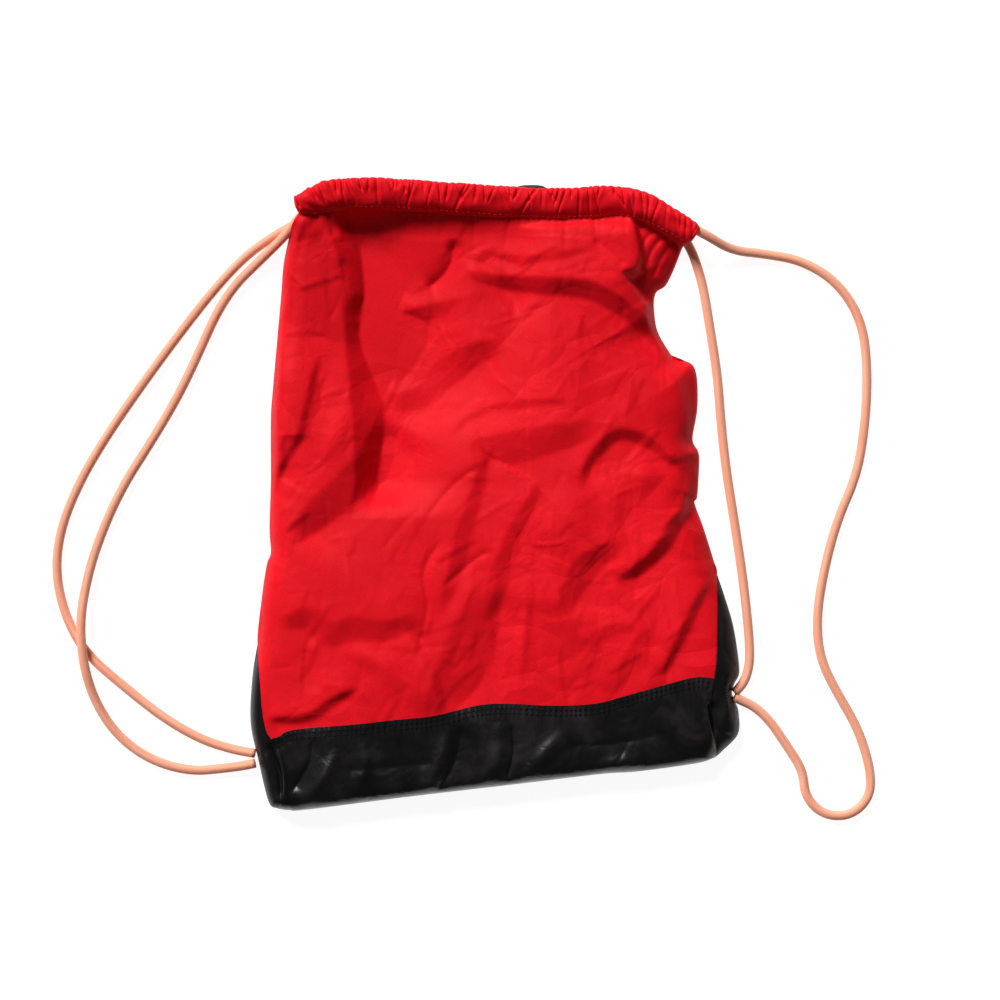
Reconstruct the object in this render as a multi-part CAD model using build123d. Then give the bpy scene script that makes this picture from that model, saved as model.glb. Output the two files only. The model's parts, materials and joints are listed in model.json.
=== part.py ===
from build123d import *
import math
import os

# A two-strap drawstring sack lying on its back, slightly puffed.
# Millimetres. X runs across the sack, Y towards its mouth and Z up from the surface it lies on.
# The origin is the centre of the sack's footprint.

os.makedirs("parts", exist_ok=True)

# ---------------------------------------------------------------- driving dimensions
CLOTH = 1.5                # thickness that every panel is modelled with
WALL_SHRINK = 0.008        # the inside of the pouch is this much narrower than the outside
HEM_WIDTH = 22.0           # the drawcord channel, measured along Y
HEM_HEIGHT = 10.0
HEM_WALL = 1.2
HEM_ROUND = 2.5
MOUTH_GAP = 6.0            # between the back hem and the front hem
CORD_DIAMETER = 7.0
THREAD = 0.5
STITCH_LENGTH = 2.6
STITCH_PITCH = 4.0
SEAM_GAP = 0.3             # clearance between the hem that lifts and what it lies on
ALLOWANCE_SHARES = (0.965, 0.957)   # where the side seams' folded allowances lie, in the footprint
ALLOWANCE_HEIGHT = 4.0
ALLOWANCE_ENDS = (-140.0, 168.0)
MOUTH_TACK = (6.0, 14.0)   # along and across the hem
MOUTH_TACK_PLACES = (0.035, 0.965)  # as shares of the hem's length
CORD_TACK_HEIGHT = 6.0
CORD_TACK_MIDDLE = 5.0
CORD_TACK_ROUND = 0.8
BACK_SEAM_ENDS = (-165.0, 160.0)
HEM_STITCH_INSET = 2.0     # from the hem's edge to its closing row
PANEL_STITCH_OFFSET = 2.5  # from the hem's edge to the row on the panel beside it
LOOP_TACK_OFFSET = 8.5     # from the hem's edge to the first stitch over the loop's end
LOOP_TACK_PITCH = 1.2
LIMP_BEND = 3 * CORD_DIAMETER

# Levels up through the mouth.
PANEL_TOP = CLOTH
BACK_HEM_TOP = PANEL_TOP + HEM_HEIGHT
FRONT_HEM_BOTTOM = BACK_HEM_TOP + MOUTH_GAP
FRONT_HEM_TOP = FRONT_HEM_BOTTOM + HEM_HEIGHT
BACK_HEM_MIDDLE = PANEL_TOP + HEM_HEIGHT / 2
FRONT_HEM_MIDDLE = FRONT_HEM_BOTTOM + HEM_HEIGHT / 2
FLOOR_CORD = CORD_DIAMETER / 2
TALL = 60.0                # taller than anything, for cutting prisms
FAR = 400.0                # further out than anything, for cutting prisms

# The pouch's footprint, clockwise from the mouth's left corner.
# The first and last few points run on past the hem, which cuts the pouch off.
FOOTPRINT = [
    (-132, 207), (-124, 238), (-60, 262), (50, 262), (112, 232), (124, 196),
    (130, 176), (127, 157), (119, 143), (127, 113), (147, 98), (152, 72), (149, 44),
    (153, 22), (151, -6), (166, -60), (180, -110), (182.5, -129), (177.5, -147.5), (182.5, -167),
    (178, -187), (155, -201), (60, -212), (-60, -226), (-145, -236), (-168, -229),
    (-178, -200), (-183, -165), (-181, -130), (-174, -73), (-169, -25), (-167, 60),
    (-161, 145), (-157, 172), (-144, 194),
]
# How the pouch's roof rises: share of the footprint's size, and height.
ROOF = [(1.0, PANEL_TOP), (0.985, 8.0), (0.94, 15.0), (0.86, 20.0), (0.72, 24.0), (0.45, 27.0)]

HEM_LINE = [
    (-136, 213.5), (-119, 221.3), (-94, 224.5), (-48, 222.5), (0, 218.6), (52, 216.6),
    (90, 217), (114, 210.5), (133, 199),
]
BAND_SEAM = [(-167, -181), (-149, -174), (-105, -170), (-45, -163.5), (0, -155), (60, -155.5),
             (98, -149), (135, -138), (163, -136)]
LEFT_EDGE_SEAM = [(-180, -112), (-175, -135), (-170, -175), (-160, -207), (-158, -250)]
RIGHT_EDGE_SEAM = [(167, -58), (166, -91), (163, -136), (161, -156), (165, -178), (166, -250)]
BACK_BAND_SEAM = -158.0
BAND_ROWS = (3.0, 7.0)     # the two topstitch rows, measured down from the band's seam

LOOP_CENTRE = (27.0, 217.0)
LOOP_OUTER = 14.5
LOOP_STRAP = 8.0

# ---------------------------------------------------------------- drawcord routes
# Both cords run through both hems. The right cord keeps to the mouth's side of the channel
# and the left cord to the pouch's side, so that neither crosses the other inside.
NORTH_LANE = [
    (125, 208.7), (103, 217.5), (78, 221), (36, 221.2), (-8, 223.1), (-52, 226.7),
    (-92, 228.4), (-117, 225.9), (-131.5, 220), (-145.8, 213.3),
]
SOUTH_LANE = [
    (-133, 210.6), (-117, 217.5), (-92, 220.5), (-48, 218.5), (0, 214.6), (50, 212.6),
    (87, 213.1), (108, 208.2), (122, 200.9), (138.2, 191.2),
]
F = FLOOR_CORD
RIGHT_OUTER_STRAND = [
    (183.5, -154, 5), (194, -158, F), (206, -169, F), (218, -187, F), (230.5, -206, F),
    (232, -226, F), (246.4, -239.9, F), (266.4, -240.2, F), (280.8, -226.3, F),
    (281.3, -206, F), (272, -175, F), (256, -148, F), (243, -122, F), (240.5, -92, F),
    (246, -57, F), (256, -19, F), (271, 15, F), (277, 52, F), (279, 92, F),
    (275, 130, F), (257, 159, F), (230, 175.5, F), (202, 180.5, F), (177, 182.5, 8),
    (158, 192, 19), (142, 198.5, FRONT_HEM_MIDDLE),
]
RIGHT_INNER_STRAND = [
    (141, 199, BACK_HEM_MIDDLE), (151, 190, 5.5), (156, 177, 4), (158, 157, F), (160.5, 127, F),
    (166.5, 90, F), (169, 55, F), (173, 18, F), (179.5, -22, F), (185.5, -62, F),
    (189.5, -98, F), (191, -121, F), (189, -134, F), (184.5, -143, 5),
]
LEFT_OUTER_STRAND = [
    (-183.5, -192.5, 5), (-198, -190, F), (-220, -183, F), (-248, -167, F), (-280, -141.5, F),
    (-306, -119, F), (-321, -93, F), (-329, -60, F), (-326, -28, F), (-313, 6, F),
    (-293, 41, F), (-264, 83, F), (-236, 121, F), (-211, 153, F), (-188, 178, F),
    (-166, 193.5, 5), (-149, 202.5, BACK_HEM_MIDDLE),
]
LEFT_INNER_STRAND = [
    (-147, 203, 21.5), (-160, 191.5, 15), (-177, 175.5, 8), (-195, 157, F), (-209, 135, F),
    (-221, 108, F), (-236, 76, F), (-256, 42, F), (-281, 3, F), (-298, -37, F),
    (-306, -67, 8), (-309.5, -95, 17.5), (-307, -127, 17.5), (-299, -155, 9), (-283, -180, F),
    (-258, -198.5, F), (-228, -207, F), (-202, -204.5, F), (-181.5, -201.5, 5),
]


# ---------------------------------------------------------------- helpers
def at_height(points, z):
    """The same plan points, at one height."""
    return [(x, y, z) for x, y in points]


def prism(points, bottom=-1.0, top=TALL):
    """A straight-sided block over a plan outline."""
    outline = make_face(Polyline(*at_height(points + points[:1], bottom)))
    return extrude(outline, amount=top - bottom, dir=(0, 0, 1))


def footprint(share, z):
    """The pouch's outline at a share of its full size, as a face at a height."""
    scaled = [(x * share, y * share, z) for x, y in FOOTPRINT]
    return make_face(Spline(*scaled, periodic=True))


def tangent_path(points):
    """Straight runs joined by arcs, each as large as its two runs allow."""
    corners = [Vector(*point) for point in points]
    radii = []
    for before, corner, after in zip(corners, corners[1:], corners[2:]):
        run_in = corner - before
        run_out = after - corner
        half_turn = math.radians(run_in.get_angle(run_out)) / 2
        radii.append(0.45 * min(run_in.length, run_out.length) / math.tan(half_turn))
    return FilletPolyline(*corners, radius=radii), radii


def hem_wire(z):
    """The middle line of a hem at a height."""
    return tangent_path(at_height(HEM_LINE, z))[0]


def along_hem(section, z):
    """A section swept along the hem's middle line."""
    line = hem_wire(z)
    start = Plane(origin=line @ 0, x_dir=Vector(0, 0, 1).cross(line % 0), z_dir=line % 0)
    return sweep(start * section, path=line)


def stitch(centre, along, up):
    """One stitch, sunk a little way into the cloth that it holds."""
    lift = THREAD / 2 - 0.05
    seat = Plane(origin=centre + up * lift, x_dir=along, z_dir=up)
    return seat * Box(STITCH_LENGTH, THREAD, THREAD)


def stitches_along(line, count_from, count_to, sideways):
    """Places and directions of stitches beside a level line."""
    places = []
    for number in range(count_from, count_to):
        distance = number * STITCH_PITCH / line.length
        along = line % distance
        places.append((line @ distance + Vector(-along.Y, along.X, 0) * sideways, along))
    return places


# ---------------------------------------------------------------- the pouch
def roof_block(shrink, drop, bottom):
    """The solid under the pouch's roof, smaller by the wall for the inside."""
    layers = [footprint(ROOF[0][0] - shrink, bottom)]
    layers += [footprint(share - shrink, height - drop) for share, height in ROOF[1:]]
    return loft(layers, ruled=True)


def north_of_hem():
    """Everything on the mouth's side of the hem's middle line."""
    ends = [(FAR, HEM_LINE[-1][1]), (FAR, FAR), (-FAR, FAR), (-FAR, HEM_LINE[0][1])]
    return prism(HEM_LINE + ends)


def roof_shell():
    """The domed front wall with its sides, open below and at the mouth."""
    shell = roof_block(0, 0, PANEL_TOP) - roof_block(WALL_SHRINK, CLOTH, PANEL_TOP - 1)
    hem_block = along_hem(Rectangle(HEM_WIDTH, 2 * TALL), 0)
    return shell - hem_block - north_of_hem()


def below_band_seam():
    """The part of the plan that the base band covers."""
    ends = [(FAR, BAND_SEAM[-1][1]), (FAR, -FAR), (-FAR, -FAR)]
    return prism([(-FAR, BAND_SEAM[0][1])] + BAND_SEAM + ends)


def left_of_seam():
    """The part of the plan that the left gusset covers."""
    return prism([(-FAR, LEFT_EDGE_SEAM[0][1])] + LEFT_EDGE_SEAM + [(-FAR, -FAR)])


def right_of_seam():
    """The part of the plan that the right gusset covers."""
    return prism([(FAR, RIGHT_EDGE_SEAM[0][1])] + RIGHT_EDGE_SEAM + [(FAR, -FAR)])


def back_wall():
    """The flat back, split at the base band's seam."""
    sheet = extrude(footprint(1.0, 0), amount=CLOTH, dir=(0, 0, 1)) - north_of_hem()
    band_area = prism([(-FAR, BACK_BAND_SEAM), (FAR, BACK_BAND_SEAM), (FAR, -FAR), (-FAR, -FAR)])
    return sheet - band_area, sheet & band_area


def seam_allowance(side):
    """The folded side seam inside the pouch, on the left (-1) or the right (1)."""
    outer, inner = ALLOWANCE_SHARES
    low, high = ALLOWANCE_ENDS
    ring = footprint(outer, PANEL_TOP) - footprint(inner, PANEL_TOP)
    strip = extrude(ring, amount=ALLOWANCE_HEIGHT, dir=(0, 0, 1))
    keep = prism([(0, low), (side * FAR, low), (side * FAR, high), (0, high)])
    return strip & keep


# ---------------------------------------------------------------- hems, loop and stitching
def channel(z):
    """One open-ended hem tube."""
    outside = RectangleRounded(HEM_WIDTH, HEM_HEIGHT, HEM_ROUND)
    bore = Rectangle(HEM_WIDTH - 2 * HEM_WALL, HEM_HEIGHT - 2 * HEM_WALL)
    return along_hem(outside - bore, z)


def mouth_corner_tack(fraction):
    """The dense stitching that closes the side seam between the two hems."""
    line = hem_wire(BACK_HEM_TOP)
    height = MOUTH_GAP - SEAM_GAP
    seat = Plane(origin=line @ fraction, x_dir=line % fraction, z_dir=(0, 0, 1))
    return seat * Box(*MOUTH_TACK, height, align=(Align.CENTER, Align.CENTER, Align.MIN))


def hang_loop(back):
    """A webbing loop sewn under the back hem, its arch standing out past the hem."""
    centre = Pos(LOOP_CENTRE[0], LOOP_CENTRE[1], 0)
    arch = Circle(LOOP_OUTER) - Circle(LOOP_OUTER - LOOP_STRAP)
    return extrude(centre * arch, amount=CLOTH, dir=(0, 0, 1)) & north_of_hem() - back


def loop_tacks():
    """Three stitches through the back, beside the hem under each end of the hang loop."""
    first_row = LOOP_CENTRE[1] - HEM_WIDTH / 2 - LOOP_TACK_OFFSET
    tacks = []
    for side in (-1, 1):
        middle = LOOP_CENTRE[0] + side * (LOOP_OUTER - LOOP_STRAP / 2)
        for row in range(3):
            place = Vector(middle, first_row + row * LOOP_TACK_PITCH, PANEL_TOP)
            tacks.append(stitch(place, Vector(1, 0, 0), Vector(0, 0, 1)))
    return Compound(children=tacks)


def channel_stitching(z, hem_top):
    """The row that closes a hem, on its outside or on the panel just below it."""
    sideways = (HEM_STITCH_INSET if hem_top else -PANEL_STITCH_OFFSET) - HEM_WIDTH / 2
    line = hem_wire(z)
    count = int(line.length / STITCH_PITCH)
    places = stitches_along(line, 4, count - 4, sideways)
    return Compound(children=[stitch(place, along, Vector(0, 0, 1)) for place, along in places])


def band_topstitch(drop, band):
    """One topstitch row over the band, a fixed way below its seam."""
    row_line = Spline(*at_height([(x, y - drop) for x, y in BAND_SEAM], 0))
    count = int(row_line.length / STITCH_PITCH)
    threads = []
    for place, along in stitches_along(row_line, 3, count - 3, 0):
        found = band.find_intersection_points(Axis((place.X, place.Y, TALL), (0, 0, -1)))
        touched, up = max(found, key=lambda hit: hit[0].Z)
        flat_along = (along - up * along.dot(up)).normalized()
        threads.append(stitch(touched, flat_along, up))
    return Compound(children=threads)


def back_band_stitching():
    """The seam's stitching on the inside of the back."""
    row_y = BACK_BAND_SEAM - BAND_ROWS[0]
    left, right = BACK_SEAM_ENDS
    line = Line((left, row_y, PANEL_TOP), (right, row_y, PANEL_TOP))
    places = stitches_along(line, 0, int(line.length / STITCH_PITCH), 0)
    return Compound(children=[stitch(place, along, Vector(0, 0, 1)) for place, along in places])


def corner_tack(x_inside, x_outside, y_low, y_high):
    """The bar of thread that sews a cord's two ends into the side seam."""
    bar = Box(abs(x_outside - x_inside), y_high - y_low, CORD_TACK_HEIGHT)
    seat = Pos((x_inside + x_outside) / 2, (y_low + y_high) / 2, CORD_TACK_MIDDLE)
    return seat * fillet(bar.edges(), CORD_TACK_ROUND)


# ---------------------------------------------------------------- the drawcords
def drawcord(name, route):
    """A round cord along its route. Its volume is compared with section times length."""
    path, radii = tangent_path(route)
    section = Plane(origin=path @ 0, z_dir=path % 0) * Circle(CORD_DIAMETER / 2)
    tube = sweep(section, path=path)
    expected = math.pi * CORD_DIAMETER ** 2 / 4 * path.length
    tight = [round(radius, 1) for radius in radii if radius < LIMP_BEND]
    print(name, "length", round(path.length, 1), "volume ratio", round(tube.volume / expected, 5))
    print(name, "radii", [round(radius) for radius in radii], "under the limp bend:", tight)
    return tube


def right_route():
    """Corner, outer strand, front hem, round the mouth's left corner, back hem, inner strand."""
    front = at_height(NORTH_LANE, FRONT_HEM_MIDDLE)
    back = at_height(NORTH_LANE[::-1], BACK_HEM_MIDDLE)
    return RIGHT_OUTER_STRAND + front + back + RIGHT_INNER_STRAND


def left_route():
    """Corner, outer strand, back hem, round the mouth's right corner, front hem, inner strand."""
    back = at_height(SOUTH_LANE, BACK_HEM_MIDDLE)
    front = at_height(SOUTH_LANE[::-1], FRONT_HEM_MIDDLE)
    return LEFT_OUTER_STRAND + back + front + LEFT_INNER_STRAND


# ---------------------------------------------------------------- assembly
def build():
    """Every sub-part by its name."""
    shell = roof_shell()
    band_block = below_band_seam()
    left_block = left_of_seam()
    right_block = right_of_seam()
    sides_off = shell - left_block - right_block
    back_panel, base_band_back = back_wall()
    base_band_front = sides_off & band_block
    return {
        "front_panel": sides_off - band_block,
        "base_band_front": base_band_front,
        "side_gusset_left": shell & left_block,
        "side_gusset_right": shell & right_block,
        "back_panel": back_panel,
        "base_band_back": base_band_back,
        "side_seam_left": seam_allowance(-1),
        "side_seam_right": seam_allowance(1),
        "front_channel": channel(FRONT_HEM_MIDDLE),
        "back_channel": channel(BACK_HEM_MIDDLE),
        "front_channel_stitching": channel_stitching(FRONT_HEM_TOP, True),
        "back_channel_stitching": channel_stitching(PANEL_TOP, False),
        "mouth_corner_tack_left": mouth_corner_tack(MOUTH_TACK_PLACES[0]),
        "mouth_corner_tack_right": mouth_corner_tack(MOUTH_TACK_PLACES[1]),
        "band_topstitch_upper": band_topstitch(BAND_ROWS[0], base_band_front),
        "band_topstitch_lower": band_topstitch(BAND_ROWS[1], base_band_front),
        "back_band_stitching": back_band_stitching(),
        "hang_loop": hang_loop(back_panel),
        "hang_loop_tacks": loop_tacks(),
        "cord_tack_left": corner_tack(-176, -183.8, -206, -189),
        "cord_tack_right": corner_tack(176, 184, -157.5, -139.5),
        "right_drawcord": drawcord("right_drawcord", right_route()),
        "left_drawcord": drawcord("left_drawcord", left_route()),
    }


for node, shape in build().items():
    export_step(shape, f"parts/{node}.step")
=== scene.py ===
import bpy
import json
import math
import numpy as np
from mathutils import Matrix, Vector


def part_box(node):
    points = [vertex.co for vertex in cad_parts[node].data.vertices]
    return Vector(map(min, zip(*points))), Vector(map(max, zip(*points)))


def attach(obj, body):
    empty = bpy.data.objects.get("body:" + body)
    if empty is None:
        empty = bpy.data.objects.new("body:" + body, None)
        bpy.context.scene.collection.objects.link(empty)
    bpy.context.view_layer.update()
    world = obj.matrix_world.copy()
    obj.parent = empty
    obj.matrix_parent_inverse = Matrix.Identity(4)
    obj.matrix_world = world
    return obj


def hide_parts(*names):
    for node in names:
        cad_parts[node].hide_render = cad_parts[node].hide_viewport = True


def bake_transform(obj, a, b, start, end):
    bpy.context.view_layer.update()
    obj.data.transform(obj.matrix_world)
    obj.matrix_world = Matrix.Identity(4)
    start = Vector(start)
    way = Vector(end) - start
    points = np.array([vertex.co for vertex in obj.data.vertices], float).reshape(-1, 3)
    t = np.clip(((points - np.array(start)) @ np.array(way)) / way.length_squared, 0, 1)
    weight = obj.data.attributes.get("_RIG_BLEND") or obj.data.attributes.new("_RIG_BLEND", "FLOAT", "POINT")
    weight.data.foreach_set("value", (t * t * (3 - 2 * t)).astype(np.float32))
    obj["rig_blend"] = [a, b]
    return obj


# The looks of a drawstring sack lying on its back. Everything is in metres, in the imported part's frame.
# Plan outlines and folds are listed in millimetres and turned into metres by mm().

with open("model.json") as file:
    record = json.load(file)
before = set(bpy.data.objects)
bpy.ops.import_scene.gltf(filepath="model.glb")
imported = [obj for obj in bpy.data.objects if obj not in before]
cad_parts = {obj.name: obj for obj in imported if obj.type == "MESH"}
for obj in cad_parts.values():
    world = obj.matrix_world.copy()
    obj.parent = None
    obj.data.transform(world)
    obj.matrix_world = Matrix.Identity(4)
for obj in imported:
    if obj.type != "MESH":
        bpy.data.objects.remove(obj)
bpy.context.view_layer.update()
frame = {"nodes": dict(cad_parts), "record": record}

MM = 0.001
SEED = 20
FRONT_HEM_LOW, FRONT_HEM_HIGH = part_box("front_channel")
BACK_HEM_LOW, BACK_HEM_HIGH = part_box("back_channel")
BACK_LOW, BACK_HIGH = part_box("back_panel")
LOOP_LOW, LOOP_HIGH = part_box("hang_loop")
FRONT_HEM_Z = (FRONT_HEM_LOW[2] + FRONT_HEM_HIGH[2]) / 2
BACK_HEM_Z = (BACK_HEM_LOW[2] + BACK_HEM_HIGH[2]) / 2
CLOTH = BACK_HIGH[2]
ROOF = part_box("front_panel")[1][2]
JOINT = next(j for j in frame["record"]["behaviour"]["joints"] if j["name"] == "mouth_open")
HINGE_Y = JOINT["pos_m"][1]
CORD_DIAMETER = 0.007
CORD_RADIUS = CORD_DIAMETER / 2


def mm(points):
    """Listed millimetres as a metre array."""
    return np.array(points, float) * MM


# ---------------------------------------------------------------- drawcord routes, as the CAD tubes run
NORTH_LANE = [
    (0.1275, 0.2105), (0.104, 0.2195), (0.078, 0.222), (0.036, 0.2212), (-0.008, 0.2231),
    (-0.052, 0.2267), (-0.092, 0.2284), (-0.117, 0.2272), (-0.1315, 0.2225), (-0.1425, 0.2165),
]
SOUTH_LANE = [
    (-0.134, 0.2135), (-0.117, 0.2195), (-0.092, 0.2208), (-0.048, 0.219), (0, 0.2152),
    (0.05, 0.2134), (0.087, 0.2147), (0.108, 0.2113), (0.122, 0.2045), (0.1378, 0.1943),
]
RIGHT_OUTER_STRAND = [
    (0.1792, -0.151, 0.006), (0.1835, -0.1535, 0.005), (0.194, -0.158, 0.0035),
    (0.206, -0.169, 0.0035), (0.218, -0.187, 0.0035),
    (0.2305, -0.206, 0.0035), (0.232, -0.226, 0.0035), (0.2464, -0.2399, 0.0035),
    (0.2664, -0.2402, 0.0035), (0.2808, -0.2263, 0.0035), (0.2813, -0.206, 0.0035),
    (0.272, -0.175, 0.0035), (0.256, -0.148, 0.0035), (0.243, -0.122, 0.0035),
    (0.2405, -0.092, 0.0035), (0.246, -0.057, 0.0035), (0.256, -0.019, 0.0035), (0.271, 0.015, 0.0035),
    (0.277, 0.052, 0.0035), (0.279, 0.092, 0.0035), (0.275, 0.13, 0.0035), (0.257, 0.159, 0.0035),
    (0.23, 0.1755, 0.0035), (0.202, 0.1805, 0.0035), (0.177, 0.1825, 0.008), (0.158, 0.1925, 0.0185),
    (0.1435, 0.1995, 0.0215),
]
RIGHT_INNER_STRAND = [
    (0.138, 0.196, 0.0065), (0.1455, 0.186, 0.0055), (0.1505, 0.174, 0.004), (0.156, 0.155, 0.0035),
    (0.1605, 0.127, 0.0035), (0.1665, 0.09, 0.0035), (0.169, 0.055, 0.0035), (0.173, 0.018, 0.0035),
    (0.1795, -0.022, 0.0035), (0.1855, -0.062, 0.0035), (0.1895, -0.098, 0.0035),
    (0.191, -0.121, 0.0035), (0.189, -0.134, 0.0035), (0.1845, -0.143, 0.005), (0.1792, -0.1475, 0.0062),
]
LEFT_OUTER_STRAND = [
    (-0.1795, -0.1932, 0.0055), (-0.1845, -0.1925, 0.005), (-0.198, -0.19, 0.0035), (-0.22, -0.183, 0.0035),
    (-0.248, -0.167, 0.0035), (-0.28, -0.1415, 0.0035), (-0.306, -0.119, 0.0035),
    (-0.321, -0.093, 0.0035), (-0.329, -0.06, 0.0035), (-0.326, -0.028, 0.0035),
    (-0.313, 0.006, 0.0035), (-0.293, 0.041, 0.0035), (-0.264, 0.083, 0.0035), (-0.236, 0.121, 0.0035),
    (-0.211, 0.153, 0.0035), (-0.188, 0.178, 0.0035), (-0.166, 0.1935, 0.005),
    (-0.149, 0.2025, 0.0065),
]
LEFT_INNER_STRAND = [
    (-0.139, 0.2125, 0.019), (-0.1465, 0.2055, 0.0145), (-0.1575, 0.1925, 0.0095),
    (-0.176, 0.175, 0.006), (-0.195, 0.157, 0.0035),
    (-0.209, 0.135, 0.0035), (-0.221, 0.108, 0.0035), (-0.236, 0.076, 0.0035), (-0.256, 0.042, 0.0035),
    (-0.281, 0.003, 0.0035), (-0.298, -0.037, 0.0035), (-0.306, -0.067, 0.006),
    (-0.3095, -0.095, 0.0115), (-0.307, -0.127, 0.0115), (-0.299, -0.155, 0.006),
    (-0.283, -0.18, 0.0035), (-0.258, -0.1985, 0.0035), (-0.228, -0.207, 0.0035),
    (-0.202, -0.2045, 0.0035), (-0.1845, -0.202, 0.005), (-0.1795, -0.2005, 0.0055),
]

# ---------------------------------------------------------------- plan outlines, in millimetres
# The sack's silhouette below its hem. The left side runs down from the mouth, and so does the right.
LEFT_SIDE = [
    (-145, 210), (-149, 204), (-154.5, 191), (-158.6, 171), (-160.5, 147), (-166.5, 79), (-168, 56),
    (-168, 11), (-169, -25), (-168, -43), (-171, -52), (-174.5, -75), (-178, -112),
]
LEFT_FOOT = [(-182, -139), (-183, -171), (-177, -199.5), (-169.5, -230), (-162, -235)]
RIGHT_SIDE = [
    (141, 187), (138, 179), (134, 169), (130.5, 161.5), (127, 156), (121, 152), (119, 145),
    (119.6, 133.5), (122, 122), (129, 109.5), (135, 102), (143.6, 100), (149, 96), (151.5, 85),
    (151.5, 64), (148, 42), (152, 33), (153, 25), (151.5, -1), (149.5, -6), (156, -24),
    (163.5, -48), (166.5, -60),
]
RIGHT_FOOT = [
    (172, -76), (178, -96), (181.5, -116), (183, -133), (179.5, -141), (177.5, -148), (180, -155),
    (182.5, -163), (182, -179), (170, -192), (165, -196.5),
]
BOTTOM = [
    (-162, -235), (-154, -236), (-140, -235.5), (-65, -226), (12, -217), (79, -209), (107, -207),
    (150.5, -201), (165, -196.5),
]
# The red panel's sewn edges beside the gussets, and the gussets' edges beside the band.
LEFT_SEAM = [(-178, -112), (-175, -135), (-173, -159), (-170, -175), (-166.5, -181)]
LEFT_DART = [(-166.5, -181), (-165, -190), (-159, -207), (-158, -222), (-162, -235)]
RIGHT_SEAM = [(166.5, -60), (166, -91.5), (165, -118), (163, -136)]
RIGHT_DART = [(163, -136), (160.5, -150), (161, -164), (164.5, -178), (165, -196.5)]
BAND_SEAM = [
    (-166.5, -181), (-160, -179), (-149, -174), (-105, -170), (-78, -167), (-45, -163.5), (-13, -156),
    (8, -154.5), (43.5, -156), (74, -154.5), (97.5, -148.5), (128, -140), (149, -135), (163, -136),
]
# The bars of thread, one on each gusset, where a cord's two ends are sewn in.
LEFT_TACK = [(-170.8, -203), (-173, -190)]
RIGHT_TACK = [(171.8, -156), (171, -143)]
# The middle line of the gathered hem, and where the panel is caught beneath it.
HEM_LINE = [
    (-147, 211.5), (-136, 217.5), (-121, 222.5), (-97, 223.9), (-50, 221.8), (0, 217.9), (52, 216.2),
    (88, 217.8), (110, 214), (129, 204), (142, 196), (148.5, 191.5),
]
UNDER_HEM = [
    (-145, 210), (-133, 210), (-118, 213.5), (-97, 215.8), (-50, 213.8), (0, 209.9), (52, 208.2),
    (88, 209.5), (107, 206), (123, 197.5), (135, 190.5), (141, 187),
]


# ---------------------------------------------------------------- curves and grids
def smooth_curve(points, per_span=12):
    """A Catmull-Rom line through given points, as many samples per span as asked."""
    p = np.array(points, float)
    p = np.vstack([2 * p[0] - p[1], p, 2 * p[-1] - p[-2]])
    t = np.linspace(0, 1, per_span, endpoint=False)[:, None]
    spans = []
    for a, b, c, d in zip(p, p[1:], p[2:], p[3:]):
        spans.append(0.5 * (2 * b + (c - a) * t + (2 * a - 5 * b + 4 * c - d) * t ** 2
                            + (3 * b - 3 * c + d - a) * t ** 3))
    return np.vstack(spans + [p[-2:-1]])


def arc_lengths(line):
    """Distance along a sampled line, from 0."""
    steps = np.linalg.norm(np.diff(line, axis=0), axis=1)
    return np.concatenate([[0], np.cumsum(steps)])


def resample(line, shares):
    """Points of a sampled line at shares of its length."""
    along = arc_lengths(line)
    return np.stack([np.interp(np.asarray(shares) * along[-1], along, line[:, k])
                     for k in range(line.shape[1])], axis=-1)


def unit(vectors):
    """Vectors scaled to a length of 1."""
    return vectors / np.linalg.norm(vectors, axis=-1, keepdims=True)


def patch(top, bottom, left, right, columns, rows):
    """A four-sided net of plan points between four boundary lines that meet at their ends."""
    u = np.linspace(0, 1, columns)
    v = np.linspace(0, 1, rows)
    upper, lower = resample(top, u), resample(bottom, u)
    first, last = resample(left, v), resample(right, v)
    u, v = u[None, :, None], v[:, None, None]
    between_rows = (1 - v) * upper[None] + v * lower[None]
    between_columns = (1 - u) * first[:, None] + u * last[:, None]
    corners = (1 - v) * ((1 - u) * upper[0] + u * upper[-1]) + v * ((1 - u) * lower[0] + u * lower[-1])
    return between_rows + between_columns - corners


def smoothstep(x):
    """0 below 0, 1 above 1 and smooth between."""
    x = np.clip(x, 0, 1)
    return x * x * (3 - 2 * x)


def distance_to(line, points, chunk=20000):
    """Distance from plan points to a sampled line, with the nearest share along it and the side.
    The side is positive on the right of the line's direction."""
    a, b = line[:-1], line[1:]
    run = b - a
    length2 = (run ** 2).sum(1)
    along = arc_lengths(line)
    far, share, side = [], [], []
    for start in range(0, len(points), chunk):
        p = points[start:start + chunk, None, :]
        t = np.clip(((p - a) * run).sum(2) / length2, 0, 1)
        gap = p - (a + t[..., None] * run)
        d2 = (gap ** 2).sum(2)
        k = d2.argmin(1)
        row = np.arange(len(k))
        far.append(np.sqrt(d2[row, k]))
        share.append((along[k] + t[row, k] * np.sqrt(length2[k])) / along[-1])
        cross = run[k, 0] * gap[row, k, 1] - run[k, 1] * gap[row, k, 0]
        side.append(-np.sign(cross))
    return np.concatenate(far), np.concatenate(share), np.concatenate(side)


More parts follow.
